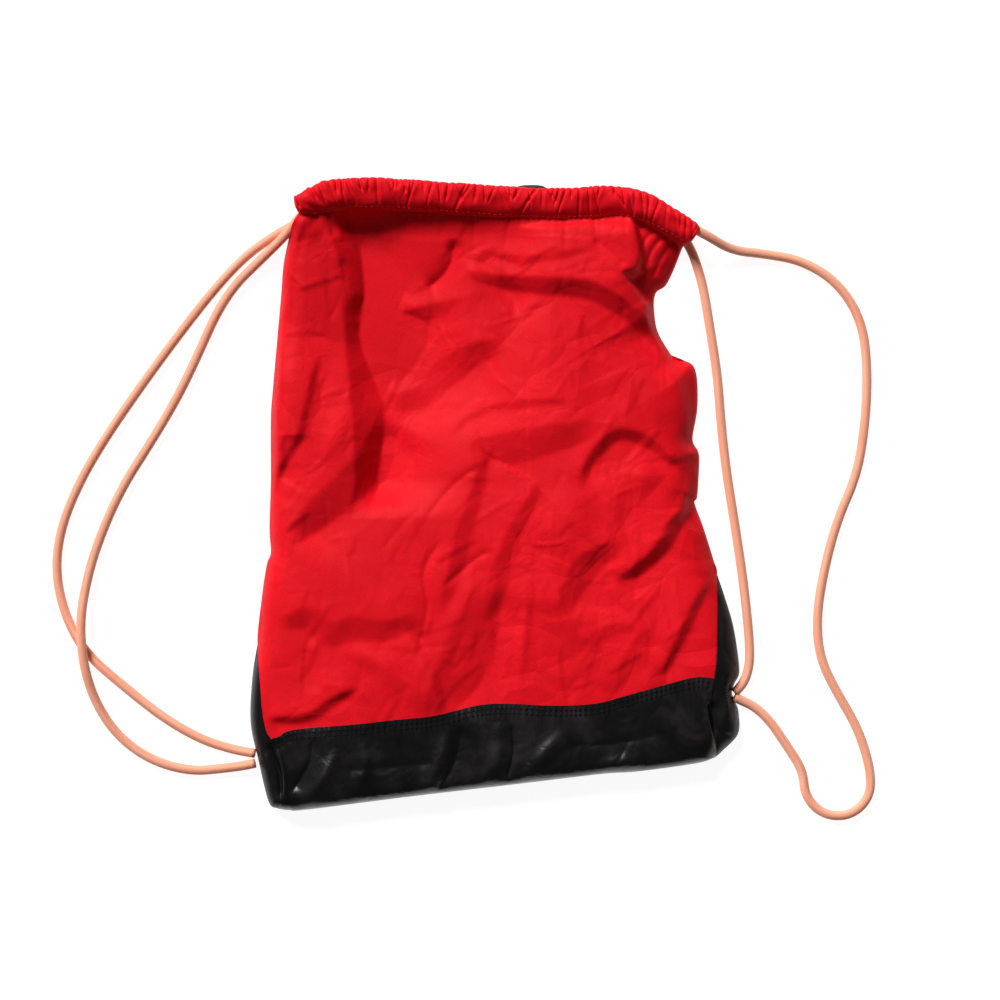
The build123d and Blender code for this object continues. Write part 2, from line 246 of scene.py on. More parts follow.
# ---------------------------------------------------------------- folds of the front
# Each fold is (kind, points, height, width, reach), in millimetres. Its height fades at both ends.
# "facet": a crest on the line, a fall to the right of its direction over the width, and a recovery
#          over the reach on both sides.
# "drop":  the same fall, but the crest stays level and only the low side recovers.
# "ridge": a round swelling along the line, or a hollow where the height is below 0.
# "valley": a V along the line.
# "pleat": a valley that starts sharp at the line's first point and runs out slowly.
FOLDS = [
    # The broad slope down the left, and the fold that carries it out to the left edge.
    ("drop", [(-104, 128), (-109, 150), (-118, 180), (-126, 212)], 14.0, 18, 44),
    ("drop", [(-104, -18), (-104, 20), (-106, 60), (-109, 92), (-112, 124), (-115, 150)], 17.0, 23, 44),
    ("drop", [(-160, -34), (-140, -8), (-122, 10), (-108, 24), (-97, 40), (-86, 62)], 7.0, 24, 30),
    ("drop", [(-200, 190), (-130, 194), (-60, 190), (-10, 184)], 9.0, 80, 50),
    ("ridge", [(-160, 226), (-165, 130), (-169, 20)], 11.0, 34, 0),
    ("facet", [(-170, -6), (-162, 20), (-158, 48)], 3.6, 6, 14),
    ("facet", [(-168, 4), (-155, 30), (-147, 44), (-141, 67), (-131, 108)], 3.0, 5, 16),
    ("valley", [(-102, 128), (-107, 140), (-111, 156), (-114, 178)], 1.8, 4, 0),
    ("ridge", [(-126, 24), (-116, 46), (-118, 66)], 2.2, 9, 0),
    ("facet", [(-160, 118), (-140, 122), (-124, 119)], 1.0, 4, 8),
    # The hollow of the upper middle and the slopes that fall into it.
    ("ridge", [(-74, 74), (-38, 86), (4, 102)], -7.5, 40, 0),
    ("facet", [(-88, 74), (-60, 80), (-44, 98), (-20, 112), (10, 117)], 4.6, 20, 26),
    ("facet", [(-74, 150), (-52, 132), (-44, 112)], 1.8, 9, 14),
    ("valley", [(-31, 192), (-32, 176), (-39, 164), (-53, 153)], 4.4, 4.6, 0),
    # The V of the upper middle and the long slope under the right shoulder.
    ("facet", [(-26, 173), (0, 164), (39, 161), (73, 157), (106, 137), (124, 112), (131, 94)], 8.0, 13, 30),
    ("facet", [(14, 130), (-2, 150), (-22, 172)], 3.6, 12, 14),
    ("facet", [(-12, 184), (16, 178), (41, 179), (74, 184)], 1.6, 6, 12),
    ("valley", [(72, 190), (89, 176), (97, 168)], 1.4, 3, 0),
    ("valley", [(45, 157), (64, 134), (80, 97)], 1.0, 2.6, 0),
    ("valley", [(92, 148), (112, 110)], 1.0, 2.6, 0),
    # The middle: a slack triangle, a small cushion at the right and the pair of slanting bands.
    ("facet", [(-37, 41), (-20, 60), (4, 68), (34, 71), (60, 70)], 1.6, 6, 14),
    ("facet", [(-12, 6), (-18, 38), (4, 45), (39, 52), (78, 56)], 5.2, 24, 24),
    ("facet", [(60, 2), (69, 29), (90, 49), (116, 42), (143, 16)], 5.2, 9, 20),
    ("ridge", [(98, 26), (120, 6)], 3.0, 14, 0),
    ("facet", [(-44, -90), (-34, -54), (-28, -24), (-15, 12), (-13, 32)], 3.8, 12, 22),
    ("facet", [(-12, -100), (-2, -74), (4, -40), (17, -14), (35, 16)], 3.2, 11, 20),
    ("valley", [(-58, -120), (-50, -84), (-52, -56), (-38, -30)], 1.6, 2.4, 0),
    ("valley", [(-8, 24), (-30, 8), (-52, -18)], 1.2, 2.2, 0),
    ("facet", [(-54, -164), (-40, -120), (-24, -84), (-8, -58)], 6.0, 36, 18),
    ("valley", [(-40, -70), (-15, -48), (0, -40)], 1.4, 2.5, 0),
    # The lower right: a hill with its slack side, the deep crease and the streak to the corner.
    ("facet", [(46, -92), (50, -66), (61, -47), (78, -37), (98, -36)], 5.6, 19, 26),
    ("ridge", [(40, -44), (54, -12), (76, 0)], 4.5, 22, 0),
    ("facet", [(86, -64), (108, -48), (123, -32), (130, -19), (141, -8), (155, 4)], 7.0, 10, 18),
    ("facet", [(121, -137), (133, -108), (146, -82), (160, -60)], 4.4, 7, 18),
    ("facet", [(82, -148), (97, -116), (116, -94)], 1.6, 12, 16),
    ("ridge", [(24, -58), (22, -94), (18, -148)], 1.4, 4, 0),
    ("facet", [(60, -110), (88, -96), (110, -98)], 1.2, 8, 12),
    # The lower left.
    ("facet", [(-166, -94), (-137, -84), (-120, -94), (-106, -90), (-81, -93), (-52, -85)], 4.4, 18, 24),
    ("facet", [(-38, -164), (-47, -139), (-56, -120), (-69, -96)], 3.0, 8, 14),
    ("ridge", [(-116, -112), (-86, -124), (-72, -148)], 2.6, 8, 0),
    ("facet", [(-172, -165), (-141, -162), (-119, -149), (-100, -141)], 4.2, 7, 14),
    ("facet", [(-140, -108), (-128, -126), (-126, -148)], 1.6, 8, 12),
    # The loose front folded over the gathered right corner.
    ("facet", [(124, 120), (116, 138), (95, 162), (104, 168), (107, 180), (104, 197), (98, 214)], 9.0, 4, 34),
    ("valley", [(114, 142), (107, 156), (103, 164)], 4.0, 6, 0),
    ("facet", [(99, 205), (80, 201.5), (50, 199.5), (14, 199)], 2.4, 2.5, 9),
    ("valley", [(-119, 224), (-113, 208), (-108, 192)], 2.4, 2.2, 0),
    ("valley", [(-129, 216), (-123, 204), (-120, 190)], 2.0, 2.0, 0),
    ("ridge", [(-123, 214), (-117, 202), (-113, 190)], 1.6, 3.0, 0),
    ("valley", [(143, 190), (134, 178), (127, 160)], 2.0, 2.2, 0),
    ("valley", [(136, 192), (126, 180), (116, 160)], 2.4, 2.4, 0),
    ("valley", [(130, 196), (118, 184), (112, 168)], 2.2, 2.2, 0),
    ("valley", [(124, 201), (112, 190), (108, 176)], 1.8, 2.0, 0),
    # Lobes down the right edge.
    ("facet", [(149, 42), (141, 62), (135, 80), (130, 99)], 3.6, 9, 14),
    ("facet", [(126, 26), (140, 30), (154, 36)], 2.2, 5, 10),
    ("valley", [(153, -5), (141, -2)], 2.0, 4, 0),
]
BAND_FOLDS = [
    ("ridge", [(-144, -232), (-128, -212), (-116, -188)], 4.2, 6, 0),
    ("valley", [(-152, -222), (-138, -200), (-134, -178)], 2.9, 4, 0),
    ("ridge", [(-104, -226), (-96, -200), (-99, -180)], 2.6, 5, 0),
    ("ridge", [(-58, -224), (-44, -206), (-32, -172)], 3.5, 6, 0),
    ("valley", [(-44, -222), (-30, -198), (-24, -170)], 2.6, 4, 0),
    ("ridge", [(-10, -216), (2, -196), (4, -168)], 2.9, 6, 0),
    ("valley", [(8, -214), (14, -190), (12, -168)], 2.6, 3, 0),
    ("ridge", [(22, -212), (38, -190), (56, -172)], 3.5, 6, 0),
    ("ridge", [(74, -206), (92, -198), (112, -200)], 2.2, 6, 0),
    ("valley", [(-120, -205), (-84, -202), (-40, -198)], 1.4, 5, 0),
    ("valley", [(50, -186), (90, -184), (128, -176)], 1.6, 5, 0),
    ("valley", [(158, -150), (162, -172), (166, -196)], 3.2, 2.6, 0),
    ("valley", [(-168, -182), (-160, -206), (-159, -228)], 3.5, 2.6, 0),
    ("ridge", [(-163, -186), (-156.5, -205), (-155.5, -226)], 2.4, 2.0, 0),
    ("ridge", [(156, -148), (158, -166), (163, -184)], 2.2, 2.0, 0),
    ("ridge", [(-173, -190), (-168, -212)], 1.9, 4, 0),
    ("ridge", [(172, -128), (174, -150), (172, -172)], 2.6, 5, 0),
    ("valley", [(181, -181), (170, -178), (163, -170), (162, -152)], 2.6, 3, 0),
]


def fold_span(kind, width, reach):
    """How far from its line a fold can be felt, in millimetres."""
    return width + reach * 2.4 if kind in ("facet", "drop") else width * 4


def fold_fade(kind, share):
    """How a fold's height comes and goes along its line."""
    if kind == "ridge":
        return np.sin(math.pi * np.clip(share, 0, 1))
    if kind == "pleat":
        return smoothstep(share / 0.08) * (1 - share) ** 1.6
    return smoothstep(share / 0.18) * smoothstep((1 - share) / 0.18)


def facet_shape(kind, share, signed, width, reach):
    """The fall of a facet or drop, for the distance to the right of its line."""
    width = width * (0.45 + 0.55 * np.sin(math.pi * np.clip(share, 0, 1)))
    soft = 1.3 * MM
    fall = (np.hypot(signed, soft) - np.hypot(signed - width, soft) + width) / (2 * width)
    beyond = np.maximum(np.maximum(-signed, signed - width), 0) / reach
    level = 0.5 if kind == "facet" else 0.0
    return (level - fall) * np.exp(-beyond ** 1.4)


def fold_height(fold, points):
    """One fold's height in metres at plan points in metres."""
    kind, line, height, width, reach = fold
    line = smooth_curve(mm(line), 8)
    span = fold_span(kind, width, reach) * MM
    near = np.all((points > line.min(0) - span) & (points < line.max(0) + span), axis=1)
    out = np.zeros(len(points))
    if not near.any():
        return out
    far, share, side = distance_to(line, points[near])
    if kind in ("facet", "drop"):
        shape = facet_shape(kind, share, far * side, width * MM, reach * MM)
    elif kind == "ridge":
        shape = np.exp(-(far / (width * MM)) ** 2)
    else:
        soft = 0.15 * width * MM
        shape = -np.exp(-(np.hypot(far, soft) - soft) / (width * MM))
    out[near] = height * MM * fold_fade(kind, share) * shape
    return out


def random_creases(count, low, high, seed):
    """Short creases strewn over an area, for the fine crumple of thin cloth."""
    rng = np.random.default_rng(seed)
    creases = []
    for _ in range(count):
        x, y = rng.uniform(low, high)
        angle = rng.normal(1.1, 0.7)
        length = rng.uniform(7, 26)
        bend = rng.normal(0, 0.12)
        ends = [np.array([math.cos(angle), math.sin(angle)]) * length * s for s in (-1, 1)]
        middle = np.array([x, y]) + np.array([-math.sin(angle), math.cos(angle)]) * length * bend
        kind = ("valley", "ridge", "facet")[rng.integers(3)]
        height = rng.uniform(0.12, 0.5)
        points = [np.array([x, y]) + ends[0], middle, np.array([x, y]) + ends[1]]
        creases.append((kind, points, height * (2 if kind == "facet" else 1), rng.uniform(1.3, 2.6), 6))
    return creases


def pleats_below_hem(seed):
    """Short valleys that run down from the gathered hem."""
    rng = np.random.default_rng(seed)
    line = smooth_curve(UNDER_HEM)
    pleats = []
    share = 0.03
    while share < 0.97:
        x, y = resample(line, [share])[0]
        length = rng.uniform(14, 46)
        lean = rng.normal(0, 0.16)
        points = [(x, y + 2), (x + lean * length * 0.5, y - length * 0.5), (x + lean * length, y - length)]
        pleats.append(("pleat", points, rng.uniform(0.7, 1.9), rng.uniform(1.4, 2.8), 0))
        share += rng.uniform(0.014, 0.03)
    return pleats


SIDES = [smooth_curve(mm(line)) for line in (LEFT_SIDE + LEFT_FOOT, BOTTOM, RIGHT_SIDE + RIGHT_FOOT)]
HEM = smooth_curve(mm(HEM_LINE))
# The random creases lie all over the red front, then more on its lower part, then on the band.
ALL_FOLDS = (FOLDS + BAND_FOLDS + pleats_below_hem(SEED)
             + random_creases(230, (-165, -165), (150, 195), SEED + 1)
             + random_creases(40, (-165, -160), (150, 60), SEED + 2)
             + random_creases(12, (-140, -222), (140, -180), SEED + 3))

RIM = 2.2 * MM             # height of the front cloth at the silhouette
DOME = 4 * MM              # slow swelling from the edges to the middle
DOME_REACH = 70 * MM
FOOT_TOP = -90 * MM        # above this the sides are soft, and 60 mm lower they are stiff
FOOT_BLEND = 60 * MM
SOFT_SIDES = (5.5 * MM, 10 * MM)    # how far in the left and right sides rise where soft
STIFF_SIDES = (3 * MM, 5 * MM)
FOOT_EDGE = 2.5 * MM
SLACK = 11.5 * MM          # how far the front sags below the hem's left part
SLACK_AT = 30 * MM
LEDGE = 3.4 * MM           # the small step below the hem's right part
MOUTH_CORNER_HEIGHT = 19 * MM
MOUTH_CORNER_FROM = (126 * MM, 186 * MM)    # the corners begin this far out and this far up


def swelling(points, left, right, bottom):
    """The puffed sack without its folds: steep at the edges and nearly flat on top."""
    above_foot = smoothstep((points[:, 1] - FOOT_TOP + FOOT_BLEND) / FOOT_BLEND)
    rise = bottom / FOOT_EDGE
    for gap, soft, stiff in zip((left, right), SOFT_SIDES, STIFF_SIDES):
        rise = np.minimum(rise, gap / (stiff + (soft - stiff) * above_foot))
    edge = np.minimum(np.minimum(left, bottom), right)
    return (ROOF - 7 * MM) * (1 - np.exp(-rise)) + DOME * (1 - np.exp(-edge / DOME_REACH))


def sag_below_hem(points):
    """The hollow in front of the hem: wide and slack on the left, a narrow step on the right."""
    x = points[:, 0]
    hem_gap = distance_to(HEM, points)[0]
    beyond = hem_gap - SLACK_AT
    loose = SLACK - 5.5 * MM * smoothstep((-85 * MM - x) / (30 * MM))
    slack = loose * np.exp(-(beyond / np.where(beyond < 0, 25 * MM, 110 * MM)) ** 2)
    ledge = LEDGE * np.exp(-((hem_gap - 12 * MM) / (7 * MM)) ** 2)
    ledge = ledge * (1 - 0.5 * smoothstep((x - 108 * MM) / (15 * MM)))
    to_right = smoothstep((x - 5 * MM) / (45 * MM))
    return slack * (1 - to_right) + ledge * to_right


def front_height(points):
    """Height of the sack's upper side over plan points, on the panels, band and gussets alike."""
    left, bottom, right = [distance_to(line, points)[0] for line in SIDES]
    edge = np.minimum(np.minimum(left, bottom), right)
    x, y = points.T
    out, up = MOUTH_CORNER_FROM
    mouth_corner = smoothstep((y - up) / (18 * MM)) * smoothstep((np.abs(x) - out) / (12 * MM))
    puff = swelling(points, left, right, bottom)
    puff = puff * (1 - mouth_corner) + np.maximum(puff, MOUTH_CORNER_HEIGHT) * mouth_corner
    sag = sag_below_hem(points) * smoothstep(edge / (12 * MM)) * (1 - 0.6 * mouth_corner)
    folds = sum(fold_height(fold, points) for fold in ALL_FOLDS)
    return RIM + puff - sag + folds * smoothstep(edge / (8 * MM))


def add_height(net, lift=0.0):
    """A plan net as a surface on the sack's upper side."""
    flat = net.reshape(-1, 2)
    z = np.maximum(front_height(flat), 1.6 * MM) + lift
    return np.concatenate([flat, z[:, None]], axis=1).reshape(net.shape[:2] + (3,))


# ---------------------------------------------------------------- mesh building
def new_mesh(name, vertices, faces):
    """A mesh object that keeps each point's rest place, so that its weave moves with it."""
    mesh = bpy.data.meshes.new(name)
    mesh.from_pydata(np.asarray(vertices, float).tolist(), [], faces)
    mesh.update()
    mesh.validate()
    mesh.polygons.foreach_set("use_smooth", np.ones(len(mesh.polygons), bool))
    obj = bpy.data.objects.new(name, mesh)
    bpy.context.scene.collection.objects.link(obj)
    store_place(obj, np.asarray(vertices, float))
    return obj


def store_place(obj, places):
    """Keeps a place per point for the materials to read."""
    attributes = obj.data.attributes
    attribute = attributes.get("place") or attributes.new("place", "FLOAT_VECTOR", "POINT")
    attribute.data.foreach_set("vector", np.asarray(places, np.float32).ravel())


def net_faces(rows, columns, wrap=False):
    """Quads of a grid of points; wrap joins the last column to the first."""
    last = columns if wrap else columns - 1
    faces = []
    for r in range(rows - 1):
        for c in range(last):
            d = (c + 1) % columns
            faces.append((r * columns + c, (r + 1) * columns + c, (r + 1) * columns + d, r * columns + d))
    return faces


def tube_faces(rows, around):
    """Quads of a row of closed rings, with a cap at each end."""
    faces = net_faces(rows, around, wrap=True)
    faces.append(tuple(range(around)))
    faces.append(tuple(range((rows - 1) * around, rows * around))[::-1])
    return faces


def net_object(name, net, wrap=False):
    """A grid of points as an object."""
    rows, columns = net.shape[:2]
    return new_mesh(name, net.reshape(-1, 3), net_faces(rows, columns, wrap))


def join_solids(name, solids):
    """Many small (vertices, faces) solids as one object."""
    vertices, faces, offset = [], [], 0
    for v, f in solids:
        vertices.append(v)
        faces += [tuple(i + offset for i in face) for face in f]
        offset += len(v)
    return new_mesh(name, np.vstack(vertices), faces)


def thread_stitch(centre, along, up, length, width):
    """One stitch: a short round-ended thread that dips into the cloth at both ends."""
    rings, around = 7, 8
    across = np.cross(up, along)
    vertices = []
    for k in range(rings):
        t = k / (rings - 1) * 2 - 1
        radius = width / 2 * math.sqrt(max(1 - t ** 4, 0.02))
        middle = centre + along * (t * length / 2) + up * (width * 0.35 * (1 - t * t) - width * 0.15)
        for a in range(around):
            angle = 2 * math.pi * a / around
            vertices.append(middle + across * radius * math.cos(angle) + up * radius * math.sin(angle))
    faces = [tuple(range(around))[::-1], tuple(range((rings - 1) * around, rings * around))]
    for r in range(rings - 1):
        for a in range(around):
            b = (a + 1) % around
            faces.append((r * around + a, r * around + b, (r + 1) * around + b, (r + 1) * around + a))
    return np.array(vertices), faces


# ---------------------------------------------------------------- lifting at the mouth
BEND_START = HINGE_Y - 20 * MM     # the cloth starts to bend a little below the hinge line
BEND_LENGTH = 125 * MM
MOUTH_MIDDLE = 1 * MM
MOUTH_HALF = 146 * MM              # from the middle of the mouth to its corners
CORNER_FADE = 95 * MM


def lift_weight(points):
    """How far each point follows the front hem: all at the hem's middle, none at its ends,
    below the fold line, or in what lies on the back."""
    x, y, z = points[:, 0], points[:, 1], points[:, 2]
    upward = smoothstep((y - BEND_START) / BEND_LENGTH)
    across = smoothstep((MOUTH_HALF - np.abs(x - MOUTH_MIDDLE)) / CORNER_FADE)
    above_back = smoothstep((z - BACK_HEM_Z - 1 * MM) / (6 * MM))
    return upward * across * above_back


def follow_mouth(obj, middles=None):
    """The piece bends between the sack and its lifted front hem. A cord's points follow by the
    middle of the cord, so that it stays round."""
    hem_y = FRONT_HEM_LOW[1]
    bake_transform(obj, "sack", "mouth_front", start=(0, BEND_START, ROOF), end=(0, hem_y, ROOF))
    rest = np.array([v.co for v in obj.data.vertices], float) if middles is None else middles
    weights = lift_weight(rest).astype(np.float32)
    obj.data.attributes["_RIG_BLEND"].data.foreach_set("value", weights)


# ---------------------------------------------------------------- materials
def node_material(name, roughness, specular=0.5, sheen=0.0):
    """A material with a principled shader, ready for its textures."""
    material = bpy.data.materials.new(name)
    material.use_nodes = True
    tree = material.node_tree
    shader = tree.nodes["Principled BSDF"]
    shader.inputs["Roughness"].default_value = roughness
    shader.inputs["Specular IOR Level"].default_value = specular
    shader.inputs["Sheen Weight"].default_value = sheen
    shader.inputs["Sheen Roughness"].default_value = 0.4
    place = tree.nodes.new("ShaderNodeAttribute")
    place.attribute_name = "place"
    return material, tree, shader, place.outputs["Vector"]


def texture(tree, kind, where, **settings):
    """A texture node on the given coordinates. Lower-case settings are sockets by their names."""
    node = tree.nodes.new(kind)
    tree.links.new(where, node.inputs["Vector"])
    for key, value in settings.items():
        socket = key.replace("_", " ").title()
        if socket in node.inputs:
            node.inputs[socket].default_value = value
        else:
            setattr(node, key, value)
    return node


def colour_ramp(tree, factor, stops):
    """A ramp of (position, colour) stops; a single number is a grey."""
    ramp = tree.nodes.new("ShaderNodeValToRGB")
    while len(ramp.color_ramp.elements) < len(stops):
        ramp.color_ramp.elements.new(0.5)
    for element, (position, colour) in zip(ramp.color_ramp.elements, stops):
        element.position = position
        element.color = ((colour,) * 3 if isinstance(colour, (int, float)) else colour) + (1,)
    tree.links.new(factor, ramp.inputs["Fac"])
    return ramp.outputs["Color"]


def mix_colour(tree, factor, first, second, blend="MIX"):
    """Two colours mixed; each may be a socket or a constant."""
    node = tree.nodes.new("ShaderNodeMix")
    node.data_type = "RGBA"
    node.blend_type = blend
    for socket, value in ((node.inputs[0], factor), (node.inputs[6], first), (node.inputs[7], second)):
        if isinstance(value, bpy.types.NodeSocket):
            tree.links.new(value, socket)
        else:
            socket.default_value = value if isinstance(value, (int, float)) else tuple(value) + (1,)
    return node.outputs[2]


def maths(tree, operation, *inputs):
    """A maths node; each input may be a socket or a constant."""
    node = tree.nodes.new("ShaderNodeMath")
    node.operation = operation
    for socket, value in zip(node.inputs, inputs):
        if isinstance(value, bpy.types.NodeSocket):
            tree.links.new(value, socket)
        else:
            socket.default_value = value
    return node.outputs[0]


def bump(tree, height, strength, distance, under=None):
    """A bump layer, over another if one is given."""
    node = tree.nodes.new("ShaderNodeBump")
    node.inputs["Strength"].default_value = strength
    node.inputs["Distance"].default_value = distance
    tree.links.new(height, node.inputs["Height"])
    if under is not None:
        tree.links.new(under, node.inputs["Normal"])
    return node.outputs["Normal"]


def dress(tree, shader, colour, normal):
    """Gives a shader its colour and its surface."""
    tree.links.new(colour, shader.inputs["Base Color"])
    tree.links.new(normal, shader.inputs["Normal"])


def weave(tree, where, pitch, strength, under=None):
    """A plain weave: two crossed sets of yarns at a pitch in metres."""
    scale = 0.314 / pitch
    warp = texture(tree, "ShaderNodeTexWave", where, scale=scale, distortion=0.4, bands_direction="X")
    weft = texture(tree, "ShaderNodeTexWave", where, scale=scale, distortion=0.4, bands_direction="Y")
    both = maths(tree, "ADD", warp.outputs["Fac"], weft.outputs["Fac"])
    return bump(tree, both, strength, pitch * 0.25, under)


def crumple(tree, where, cells, strength, distance, under=None):
    """Fine creases: the edges of warped cells, and soft noise between them."""
    warp = texture(tree, "ShaderNodeTexNoise", where, scale=cells * 0.6, detail=2)
    moved = mix_colour(tree, 0.035, where, warp.outputs["Color"])
    edges = texture(tree, "ShaderNodeTexVoronoi", moved, scale=cells, feature="DISTANCE_TO_EDGE")
    patchy = texture(tree, "ShaderNodeTexNoise", where, scale=cells * 0.4, detail=1)
    mask = colour_ramp(tree, patchy.outputs["Fac"], [(0.42, 0.1), (0.6, 1)])
    height = maths(tree, "MULTIPLY", edges.outputs["Distance"], mask)
    return bump(tree, height, strength, distance, under)


def nylon(name, lit, mid, deep, roughness=0.6, stains=True):
    """Thin woven nylon: uneven dye, fine crumple, weave and a few faint stains."""
    material, tree, shader, place = node_material(name, roughness, specular=0.1)
    cloud = texture(tree, "ShaderNodeTexNoise", place, scale=14, detail=4, roughness=0.6)
    colour = colour_ramp(tree, cloud.outputs["Fac"], [(0.25, deep), (0.5, mid), (0.72, lit)])
    if stains:
        spots = texture(tree, "ShaderNodeTexNoise", place, scale=95, detail=3, roughness=0.7)
        mask = colour_ramp(tree, spots.outputs["Fac"], [(0.69, 0), (0.78, 1)])
        patches = texture(tree, "ShaderNodeTexNoise", place, scale=9, detail=1)
        where = colour_ramp(tree, patches.outputs["Fac"], [(0.5, 0), (0.62, 0.5)])
        amount = mix_colour(tree, 1.0, mask, where, "MULTIPLY")
        colour = mix_colour(tree, amount, colour, tuple(c * 0.35 for c in deep))
    yarn = texture(tree, "ShaderNodeTexNoise", place, scale=1400, detail=2)
    slubs = colour_ramp(tree, yarn.outputs["Fac"], [(0.3, 0.78), (0.65, 1)])
    colour = mix_colour(tree, 1.0, colour, slubs, "MULTIPLY")
    layer = crumple(tree, place, cells=26, strength=0.85, distance=4.0 * MM)
    layer = crumple(tree, place, cells=70, strength=0.45, distance=0.9 * MM, under=layer)
    grain = bump(tree, yarn.outputs["Fac"], 0.35, 0.12 * MM, layer)
    dress(tree, shader, colour, weave(tree, place, 0.55 * MM, 0.16, grain))
    return material


def coated_cloth():
    """Black cloth with a semi-gloss coating: a fine grain, and soft grey patches of painted sheen."""
    material, tree, shader, place = node_material("coated_black_cloth", 0.32, specular=0.32)
    cloud = texture(tree, "ShaderNodeTexNoise", place, scale=20, detail=4, roughness=0.6, distortion=0.8)
    # Painted sheen: soft noise patches lighten the near-black coating to grey.
    new, faint_painted_sheen, grey_painted_sheen = (0.0022, 0.0018, 0.002), (0.006, 0.0052, 0.0056), (0.019, 0.016, 0.017)
    colour = colour_ramp(tree, cloud.outputs["Fac"], [(0.34, new), (0.52, faint_painted_sheen), (0.72, grey_painted_sheen)])
    rough = texture(tree, "ShaderNodeTexNoise", place, scale=60, detail=4)
    spread = tree.nodes.new("ShaderNodeMapRange")
    spread.inputs["To Min"].default_value = 0.20
    spread.inputs["To Max"].default_value = 0.42
    tree.links.new(rough.outputs["Fac"], spread.inputs["Value"])
    tree.links.new(spread.outputs["Result"], shader.inputs["Roughness"])
    grain = texture(tree, "ShaderNodeTexVoronoi", place, scale=1300, feature="F1")
    layer = crumple(tree, place, cells=24, strength=0.9, distance=4.0 * MM)
    layer = crumple(tree, place, cells=70, strength=0.5, distance=1.4 * MM, under=layer)
    dress(tree, shader, colour, bump(tree, grain.outputs["Distance"], 0.12, 0.15 * MM, layer))
    return material


def webbing():
    """Black ribbed webbing."""
    material, tree, shader, place = node_material("black_webbing_yarn", 0.7, sheen=0.3)
    ribs = texture(tree, "ShaderNodeTexWave", place, scale=0.314 / (1.1 * MM), bands_direction="X")
    # Painted shade: the grooves between the ribs are coloured deeper than the ribs.
    painted_groove_shade, rib = (0.006, 0.006, 0.007), (0.03, 0.03, 0.032)
    colour = colour_ramp(tree, ribs.outputs["Fac"], [(0.2, painted_groove_shade), (0.8, rib)])
    dress(tree, shader, colour, bump(tree, ribs.outputs["Fac"], 0.6, 0.3 * MM))
    return material


def thread(name, painted_twist_shade, light):
    """Twisted sewing thread."""
    material, tree, shader, place = node_material(name, 0.8, specular=0.15)
    twist = texture(tree, "ShaderNodeTexWave", place, scale=0.314 / (0.5 * MM), bands_direction="DIAGONAL")
    # Painted shade: the hollows of the twist get the shaded tone, and the ridges get the plain one.
    colour = colour_ramp(tree, twist.outputs["Fac"], [(0.2, painted_twist_shade), (0.8, light)])
    dress(tree, shader, colour, bump(tree, twist.outputs["Fac"], 0.5, 0.15 * MM))
    return material


def braid(tree, place, strands=12, turns_per_metre=95.0):
    """The height of a round braid, from -1 to 1: two sets of strands that wind opposite ways."""
    split = tree.nodes.new("ShaderNodeSeparateXYZ")
    tree.links.new(place, split.inputs[0])
    sets = []
    for handed in (-1, 1):
        turn = maths(tree, "MULTIPLY_ADD", split.outputs["Y"], handed * turns_per_metre, split.outputs["X"])
        around = maths(tree, "MULTIPLY", turn, 2 * math.pi * strands)
        sets.append(maths(tree, "SINE", around))
    return maths(tree, "MULTIPLY", *sets)


def cord_sheath():
    """Round cord with a tight braided sheath. Its place is (turn round the cord, metres along, 0)."""
    material, tree, shader, place = node_material("coral_cord_sheath", 0.58, specular=0.35, sheen=0.25)
    height = braid(tree, place)
    stretched = tree.nodes.new("ShaderNodeVectorMath")
    stretched.operation = "MULTIPLY"
    stretched.inputs[1].default_value = (5.0, 9.0, 1.0)
    tree.links.new(place, stretched.inputs[0])
    streaks = texture(tree, "ShaderNodeTexNoise", stretched.outputs[0], scale=2.2, detail=3, roughness=0.6)
    deep, coral, faded = (0.96, 0.33, 0.195), (0.97, 0.40, 0.25), (0.98, 0.47, 0.32)
    colour = colour_ramp(tree, streaks.outputs["Fac"], [(0.3, deep), (0.5, coral), (0.7, faded)])
    shade = tree.nodes.new("ShaderNodeMapRange")
    shade.inputs["From Min"].default_value = -1
    tree.links.new(height, shade.inputs["Value"])
    # Painted shade: the colour is dimmed where the braid lies low, between its strands.
    braid_hollow_shade = colour_ramp(tree, shade.outputs["Result"], [(0.0, 0.93), (0.6, 1)])
    colour = mix_colour(tree, 1.0, colour, braid_hollow_shade, "MULTIPLY")
    scuffs = texture(tree, "ShaderNodeTexNoise", stretched.outputs[0], scale=6.5, detail=2)
    mask = colour_ramp(tree, scuffs.outputs["Fac"], [(0.72, 0), (0.8, 0.45)])
    colour = mix_colour(tree, mask, colour, (0.22, 0.09, 0.06))
    dress(tree, shader, colour, bump(tree, height, 0.35, 0.25 * MM))
    return material


def pale_floor():
    """A plain pale studio floor."""
    material = bpy.data.materials.new("studio_floor")
    material.use_nodes = True
    shader = material.node_tree.nodes["Principled BSDF"]
    shader.inputs["Base Color"].default_value = (0.25, 0.25, 0.25, 1)
    shader.inputs["Roughness"].default_value = 0.9
    shader.inputs["Specular IOR Level"].default_value = 0.1
    shader.inputs["Emission Color"].default_value = (1, 1, 1, 1)
    shader.inputs["Emission Strength"].default_value = 0.92
    return material


RED = nylon("red_nylon_cloth", (0.86, 0.005, 0.014), (0.79, 0.004, 0.012), (0.70, 0.003, 0.010))
BLACK = nylon("black_nylon_cloth", (0.011, 0.010, 0.011), (0.007, 0.0065, 0.007), (0.004, 0.004, 0.004),
              roughness=0.42, stains=False)
COATED = coated_cloth()
WEBBING = webbing()
RED_THREAD = thread("red_sewing_thread", (0.30, 0.008, 0.014), (0.60, 0.03, 0.045))
BLACK_THREAD = thread("black_sewing_thread", (0.003, 0.003, 0.003), (0.012, 0.012, 0.012))
CORD = cord_sheath()


